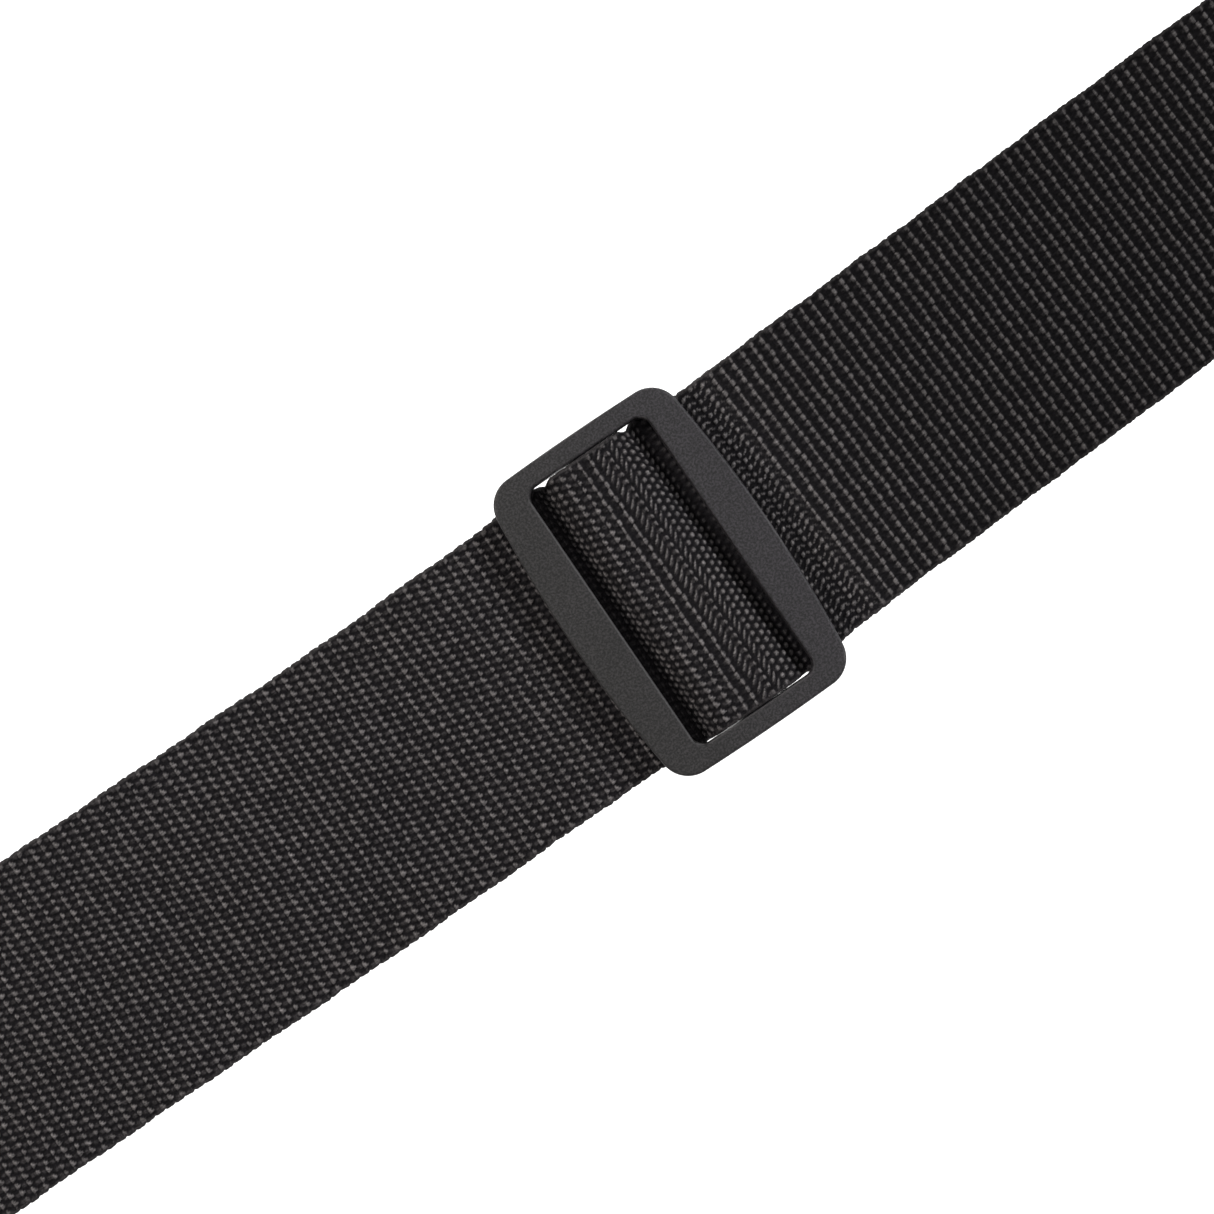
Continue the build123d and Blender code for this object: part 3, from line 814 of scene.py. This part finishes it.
strap_piece("webbing_front_end_weave", 0.0, dist_out(TAB_X), MEDIUM, "webbing_front_end", "front")
strap_run("webbing_front_run", [TAB_X, 231.0, 356.0, 481.0, 545.0, ARCH_X0],
          [MEDIUM] * 3 + [FINE] * 2, dist_out, FRONT_HOLD)
crest = dist_out(GLIDE_X + WINDOW_X)
strap_piece("webbing_arch_front", dist_out(ARCH_X0), crest, ARCH, "webbing_slider_arch", ARCH_HOLD)
strap_piece("webbing_arch_rear", crest, dist_out(ARCH_X1), ARCH, "webbing_slider_arch", FOLD_HOLD)
strap_run("webbing_top_run", [ARCH_X1, GLIDE_X + 85, GLIDE_X + 135, GLIDE_X + 260, TURN_X],
          [FINE] * 2 + [PLAIN] * 2, dist_out, REAR_HOLD)
strap_piece("webbing_turn", dist_out(TURN_X), dist_back(TURN_X), TURN, "webbing_loop_turn", "turn")
strap_run("webbing_return_run", [TURN_X, GLIDE_X + 260, GLIDE_X + 135, ARCH_X1],
          [PLAIN] * 3, dist_back, REAR_HOLD)
strap_piece("webbing_fold", dist_back(ARCH_X1), strap.total, FOLD, "webbing_sewn_fold", FOLD_HOLD)
attach(webbing("tail_link_weave", tail_link, 0.0, tail_link.total,
               spacing=0.45, top=4, low=4, look="dash"),
       "tail_link_webbing", "tail")

# --- Leather tabs: a rounded nose round the button hole, widening to a square end ---
HOLE_R, SLIT_END, SLIT_W = 4.0, 14.0, 1.0
TAPER_X, CORNER_R = 62.0, 4.0
LIFT = 1.52                           # rise of the outer ply over the webbing end
LEATHER_T = tab_hi[2] - tab_lo[2] - LIFT
OUTER_Z = tab_lo[2]                   # underside of the outer ply at the nose
OUTLINE_STEP = 0.8
SKIN_VOXEL = 0.40
SEAM_IN = 3.85                        # edge seam's distance inside the outline
BOX_X0, BOX_X1, BOX_Y = 59.35, 92.65, 19.15   # box seam, from -BOX_Y to BOX_Y
# direction from the hole square to the taper line
TAPER_A = math.atan2(TAB_HALF_W, TAPER_X) + math.acos(NOSE_R / math.hypot(TAB_HALF_W, TAPER_X))


def inset(x, y):
    """Distance inside the tab's outline."""
    off = np.abs(y)
    taper = NOSE_R - (x * math.cos(TAPER_A) + off * math.sin(TAPER_A))
    nose = np.where(np.arctan2(off, x) > TAPER_A, NOSE_R - np.hypot(x, y), taper)
    inside = np.minimum(np.minimum(TAB_HALF_W - off, TAB_END - x), nose)
    corner_x, corner_y = TAB_END - CORNER_R, TAB_HALF_W - CORNER_R
    in_corner = (x > corner_x) & (off > corner_y)
    return np.where(in_corner, CORNER_R - np.hypot(x - corner_x, off - corner_y), inside)


def outline(inward):
    """Closed outline of the tab, anticlockwise, moved inward."""
    nose, corner = NOSE_R - inward, max(CORNER_R - inward, 0.2)
    half_w, end = TAB_HALF_W - inward, TAB_END - inward
    # where the taper line meets the straight side
    taper_x = (nose - half_w * math.sin(TAPER_A)) / math.cos(TAPER_A)
    half = [(nose * math.cos(a), nose * math.sin(a)) for a in np.linspace(math.pi, TAPER_A, 40)]
    half += [(taper_x, half_w), (end - corner, half_w)]
    half += [(end - corner + corner * math.sin(a), half_w - corner + corner * math.cos(a))
             for a in np.linspace(0, math.pi / 2, 8)]
    half += [(end, 0.0)]
    loop = half + [(x, -y) for x, y in reversed(half[1:-1])]
    points = []
    for (x0, y0), (x1, y1) in zip(loop, loop[1:] + loop[:1]):
        count = max(1, int(math.hypot(x1 - x0, y1 - y0) / OUTLINE_STEP))
        points += [(x0 + (x1 - x0) * k / count, y0 + (y1 - y0) * k / count)
                   for k in range(count)]
    return points[::-1]


def keyhole():
    """Round hole with a slit towards the middle of the strap."""
    gap = math.asin(SLIT_W / 2 / HOLE_R)
    tip = SLIT_END - 0.5
    slit = np.linspace(HOLE_R + 0.6, tip, 14)
    ring = [(HOLE_R * math.cos(a), HOLE_R * math.sin(a))
            for a in np.linspace(gap, 2 * math.pi - gap, 60)]
    ring += [(x, -SLIT_W / 2) for x in slit]
    ring += [(tip + 0.5 * math.cos(a), 0.5 * math.sin(a))
             for a in np.linspace(-math.pi / 2 + 0.3, math.pi / 2 - 0.3, 6)]
    ring += [(x, SLIT_W / 2) for x in slit[::-1]]
    return ring


def value_noise(x, y, cell, seed):
    """Smooth repeatable noise, 0 to 1."""
    i, j = np.floor(x / cell), np.floor(y / cell)
    part_x, part_y = smooth01(x / cell - i), smooth01(y / cell - j)
    near, far = ([hash01(i + a, j + b, seed) for a in (0, 1)] for b in (0, 1))
    return ((near[0] * (1 - part_x) + near[1] * part_x) * (1 - part_y)
            + (far[0] * (1 - part_x) + far[1] * part_x) * part_y)


def bell(distance, width):
    return np.exp(-(distance / width) ** 2)


def seam_groove(x, y):
    """Depth 0 to 1 of the press mark that the stitching leaves."""
    in_box = (x > BOX_X0 - 0.6) & (x < BOX_X1 + 0.6) & (np.abs(y) < BOX_Y + 0.6)
    from_side = np.minimum(np.abs(x - BOX_X0), np.abs(x - BOX_X1))
    nearest = np.minimum(from_side, np.abs(np.abs(y) - BOX_Y))
    middle = (BOX_X0 + BOX_X1) / 2
    slope = 2 * BOX_Y / (BOX_X1 - BOX_X0)
    for sign in (1, -1):
        diagonal = np.abs(y - sign * slope * (x - middle)) / math.hypot(1, slope)
        nearest = np.minimum(nearest, diagonal)
    return np.maximum(bell(inset(x, y) - SEAM_IN, 0.55), np.where(in_box, bell(nearest, 0.55), 0))


def outer_rise(x):
    return LIFT * smooth01((x - 44.6) / 8.6)


def flat_ply(name):
    """An evenly remeshed flat ply, in millimetres."""
    rings = [[Vector((x, y, 0)) for x, y in points] for points in (outline(0.0), keyhole())]
    bm = bmesh.new()
    verts = [bm.verts.new(point) for point in rings[0] + rings[1]]
    for triangle in tessellate_polygon(rings):
        bm.faces.new([verts[k] for k in triangle])
    bmesh.ops.recalc_face_normals(bm, faces=bm.faces[:])
    for item in bmesh.ops.extrude_face_region(bm, geom=bm.faces[:])["geom"]:
        if isinstance(item, bmesh.types.BMVert):
            item.co.z = LEATHER_T
    bmesh.ops.recalc_face_normals(bm, faces=bm.faces[:])
    mesh = bpy.data.meshes.new(name + "_base")
    bm.to_mesh(mesh)
    bm.free()
    base = bpy.data.objects.new(name + "_base", mesh)
    scene.collection.objects.link(base)
    remesh = base.modifiers.new("skin", "REMESH")
    remesh.mode = "VOXEL"
    remesh.voxel_size = SKIN_VOXEL
    remesh.use_smooth_shade = True
    depsgraph = bpy.context.evaluated_depsgraph_get()
    skin = bpy.data.meshes.new_from_object(base.evaluated_get(depsgraph))
    bpy.data.objects.remove(base)
    bpy.data.meshes.remove(mesh)
    return skin


def leather_ply(name, outer, rear, body, node):
    skin = flat_ply(name)
    flat = np.zeros(len(skin.vertices) * 3, np.float32)
    skin.vertices.foreach_get("co", flat)
    x, y, z = flat.reshape(-1, 3).astype(float).T
    inside = inset(x, y)
    from_hole = np.hypot(x, y) - HOLE_R
    up = z / LEATHER_T                             # 0 under, 1 on top
    finished = up if outer else 1 - up             # 1 on the side that shows
    top = np.clip(finished * 1.6 - 0.6, 0, 1)
    sign = 1 if outer else -1
    seed = 3 + 2 * rear + outer
    # burnished edge: both faces roll in towards the cut
    rim = np.maximum(bell(np.clip(inside, 0, None), 0.75), bell(np.clip(from_hole, 0, None), 0.6))
    z = LEATHER_T / 2 + (z - LEATHER_T / 2) * (1 - 0.34 * rim)
    groove = seam_groove(x, y)
    pebble = (value_noise(x, y, 0.95, seed) * 0.6
              + value_noise(x + 7, y - 3, 0.55, seed + 9) * 0.4)
    swell = smooth01((inside - 0.3) / 3.2)
    z = z + sign * top * (-0.20 * groove + 0.05 * (pebble - 0.5) * swell + 0.05 * swell - 0.05)
    z = z + sign * top * 0.10 * bell(from_hole - 1.3, 1.0)     # lip round the hole
    if outer:
        soft = value_noise(x, y, 9.0, seed + 4) - 0.5
        wavy = smooth01((inside - 0.5) / 4) * (x < 44) * smooth01((44 - x) / 10)
        z = z + outer_rise(x) + 0.10 * soft * wavy * top
        z = z - 0.22 * bell(np.clip(inside, 0, None), 1.0) * smooth01((x - 53) / 8)
        z = z + OUTER_Z
    else:
        z = np.maximum(z, 0.0)
    placed = np.stack([REAR_HOLE_X - x if rear else x, y, z], -1)
    skin.vertices.foreach_set("co", (placed.astype(np.float32) * MM).ravel())
    attribute = skin.attributes.new("tab", "FLOAT_VECTOR", "POINT")
    values = np.stack([inside, np.minimum(from_hole, 30), groove], -1)
    attribute.data.foreach_set("vector", values.astype(np.float32).ravel())
    if rear:
        skin.flip_normals()
    skin.update()
    skin.name = name
    skin.materials.clear()
    skin.materials.append(LEATHER)
    ob = bpy.data.objects.new(name, skin)
    scene.collection.objects.link(ob)
    attach(ob, node, body)


TABS = (("front", False, "front"), ("rear", True, "tail"))    # side, mirrored, body
for side, rear, body in TABS:
    leather_ply(f"{side}_leather_outer", True, rear, body, f"{side}_tab_outer")
    leather_ply(f"{side}_leather_backing", False, rear, body, f"{side}_tab_backing")


# --- Stitches: each one a short twisted thread that dives into the work at its ends ---
TWIST = 2.6                           # sets how far the three strands turn along a stitch


def stitch_mesh(starts, ends, z_of, down, radius, sink, rings=13, sides=12):
    """Vertices, quads and caps of stitches from starts to ends (n x 2)."""
    count = len(starts)
    t = np.linspace(-1, 1, rings)
    angle = np.linspace(0, 2 * np.pi, sides, endpoint=False)
    mid, half = (starts + ends) / 2, (ends - starts) / 2
    dir_x, dir_y = half.T / np.hypot(half[:, 0], half[:, 1])
    x = mid[:, 0, None] + half[:, 0, None] * t
    y = mid[:, 1, None] + half[:, 1, None] * t
    jitter = 0.12 * (hash01(np.arange(count), 5, 31) - 0.5)[:, None, None]
    lift = radius * 0.42 - (radius * 0.9 + sink) * np.abs(t) ** 5
    z = z_of(x) + (-1.0 if down else 1.0) * lift[None, :]
    taper = 1 - 0.35 * np.abs(t) ** 8
    lobes = 1 + 0.11 * np.cos(3 * angle[None, :] + 2 * np.pi * TWIST * t[:, None] * 0.5)
    section = radius * taper[:, None] * lobes                 # rings x sides
    aside = (section * np.cos(angle)[None, :])[None] + jitter
    verts = np.stack([x[:, :, None] - dir_y[:, None, None] * aside,
                      y[:, :, None] + dir_x[:, None, None] * aside,
                      z[:, :, None] + section * np.sin(angle)[None, :]], -1).reshape(-1, 3)
    base = (np.arange(count) * rings * sides)[:, None, None]
    i = base + (np.arange(rings - 1) * sides)[None, :, None]
    j = np.arange(sides)[None, None, :]
    j_next = (j + 1) % sides
    quads = np.stack([i + j, i + j_next, i + sides + j_next, i + sides + j], -1).reshape(-1, 4)
    caps = []
    for first in range(0, count * rings * sides, rings * sides):
        last = first + (rings - 1) * sides
        caps.append([first + k for k in range(sides - 1, -1, -1)])
        caps.append([last + k for k in range(sides)])
    return verts, quads, caps


def stitch_line(points, pitch, length, closed=True):
    """Stitch starts and ends at an even pitch on a line."""
    line = np.asarray(points + ([points[0]] if closed else []), float)
    dist = np.concatenate([[0], np.cumsum(np.hypot(*np.diff(line, axis=0).T))])
    count = max(2, int(round(dist[-1] / pitch)))
    middles = (np.arange(count) + 0.5) * dist[-1] / count
    return [np.stack([np.interp(at, dist, line[:, 0]), np.interp(at, dist, line[:, 1])], -1)
            for at in (middles - length / 2, middles + length / 2)]


def rectangle(x0, x1, half_y):
    return [(x0, -half_y), (x1, -half_y), (x1, half_y), (x0, half_y)]


def zigzag(x, half_w, y0, y1, pitch):
    y = np.arange(y0, y1, pitch)
    swing = np.where(np.arange(len(y)) % 2 == 0, -1, 1) * half_w
    return np.stack([x + swing, y], -1), np.stack([x - swing, y + pitch], -1)


def sew(name, runs, z_top, z_low, thread, node, hold, mirror=False):
    """Stitches on the top and the underside of the work."""
    starts, ends = (np.concatenate(part) for part in zip(*runs))
    top, quads, caps = stitch_mesh(starts, ends, z_top, False, **thread)
    low, low_quads, low_caps = stitch_mesh(starts, ends, z_low, True, **thread)
    verts = np.concatenate([top, low])
    quads = np.concatenate([quads, low_quads + len(top)])
    caps = caps + [[k + len(top) for k in cap] for cap in low_caps]
    if mirror:
        verts[:, 0] = REAR_HOLE_X - verts[:, 0]
        quads = quads[:, ::-1]
        caps = [cap[::-1] for cap in caps]
    attach(mesh_object(name, verts, quads, caps, THREAD, {}), node, hold)


def over_tab(x):
    return OUTER_Z + LEATHER_T + outer_rise(x) - 0.20


def level(z):
    return lambda x: z + 0 * x


TAB_THREAD = dict(radius=0.36, sink=0.30)
LINK_THREAD = dict(radius=0.34, sink=0.30)
TACK_THREAD = dict(radius=0.13, sink=0.10, rings=7, sides=8)
BOX_STITCH = dict(pitch=3.3, length=2.75)

# The diagonals stop short of the box's corners
cross_x0, cross_x1, cross_y = BOX_X0 + 1.2, BOX_X1 - 1.2, BOX_Y - 1.4
box_runs = [stitch_line(rectangle(BOX_X0, BOX_X1, BOX_Y), **BOX_STITCH)]
for y in (-cross_y, cross_y):
    box_runs.append(stitch_line([(cross_x0, y), (cross_x1, -y)], closed=False, **BOX_STITCH))
edge_runs = [stitch_line(outline(SEAM_IN), pitch=3.45, length=2.85)]
for side, rear, body in TABS:
    for seam, runs in (("edge", edge_runs), ("box", box_runs)):
        sew(f"{side}_{seam}_stitches", runs, over_tab, level(0.22), TAB_THREAD,
            f"{side}_tab_{seam}_stitching", body, rear)

link_x = BAR_2_X + 25
link_box = rectangle(link_x - 8.1, link_x + 8.1, 20.6)
sew("tail_link_stitches", [stitch_line(link_box, pitch=3.0, length=2.5)],
    level(SHORT_PLY_Z + HALF_T - 0.16), level(TAB_WEB_Z - HALF_T + 0.16), LINK_THREAD,
    "tail_link_stitching", "tail")

tack_runs = [zigzag(GLIDE_X + x, half_w=0.8, y0=-22.8, y1=22.8, pitch=0.42) for x in (22.5, 30.5)]
sew("slider_bartack_stitches", tack_runs, level(TAIL_PLY_Z + HALF_T - 0.02),
    level(FLOOR_Z - HALF_T + 0.08), TACK_THREAD, "slider_bartack", FOLD_HOLD)

# --- Materials of the CAD pieces ---
for node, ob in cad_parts.items():
    if "tab_outer" in node or "tab_backing" in node:
        mat = LEATHER
    elif "stitching" in node or "bartack" in node:
        mat = THREAD
    elif node in ("tri_glide", "rectangular_loop"):
        mat = PLASTIC
    else:
        mat = WEB
    ob.data.materials.clear()
    ob.data.materials.append(mat)


# --- Stage, camera and light, in metres ---
def floor():
    sh = Shader("pale_floor")
    soft = sh.noise(sh.coords(), scale=1.5)
    sh.surface({
        "Base Color": sh.ramp(soft, [(0.0, 0.90), (1.0, 0.93)]),
        "Roughness": 0.9,
        "Specular IOR Level": 0.0,
        "Emission Color": (1, 1, 1),
        "Emission Strength": 1.0})
    mesh = bpy.data.meshes.new("floor")
    drop = -0.19                      # below the tail when it hangs straight down
    corners = [(-6, -6, drop), (7, -6, drop), (7, 6, drop), (-6, 6, drop)]
    mesh.from_pydata(corners, [], [(0, 1, 2, 3)])
    ob = bpy.data.objects.new("floor", mesh)
    scene.collection.objects.link(ob)
    mesh.materials.append(sh.mat)


floor()

# The camera looks straight down at the tri-glide, turned about the vertical
ROLL = math.radians(34.3)
view_right = Vector((math.cos(ROLL), -math.sin(ROLL), 0))
view_up = Vector((math.sin(ROLL), math.cos(ROLL), 0))
centre = Vector((GLIDE_X * MM, 0, glide_hi[2] * MM))
aim = centre - view_right * 0.01064 - view_up * 0.00426

cam_data = bpy.data.cameras.new("camera")
cam_data.lens = 100.0
cam_data.sensor_width = 36.0
cam_data.clip_start = 0.01
cam_data.clip_end = 50.0
cam = bpy.data.objects.new("camera", cam_data)
scene.collection.objects.link(cam)
cam.location = aim + Vector((0, 0, 0.5696))
cam.rotation_euler = (0, 0, -ROLL)
scene.camera = cam

# name, place from the tri-glide (view right, view up, z), side of the square, watts, colour
LIGHTS = [
    ("key", (0.75, 0.60, 0.80), 0.45, 9.5, (0.97, 0.985, 1.0)),
    ("overhead", (0.0, 0.15, 1.45), 0.5, 2.2, (1, 1, 1)),
    ("warm_side", (-0.85, 0.10, 0.75), 0.45, 6.5, (1.0, 0.965, 0.92))]
for name, (right, up, above), size, power, color in LIGHTS:
    light = bpy.data.lights.new(name, "AREA")
    light.shape = "RECTANGLE"
    light.size = light.size_y = size
    light.energy = power
    light.color = color
    ob = bpy.data.objects.new(name, light)
    scene.collection.objects.link(ob)
    ob.location = centre + view_right * right + view_up * up + Vector((0, 0, above))
    ob.rotation_euler = (centre - ob.location).to_track_quat("-Z", "Y").to_euler()

world = bpy.data.worlds.new("studio")
scene.world = world
world.use_nodes = True
background = world.node_tree.nodes["Background"]
background.inputs["Color"].default_value = (1, 1, 1, 1)
background.inputs["Strength"].default_value = 0.13
scene.view_settings.view_transform = "Standard"
scene.view_settings.look = "None"
scene.cycles.use_denoising = True
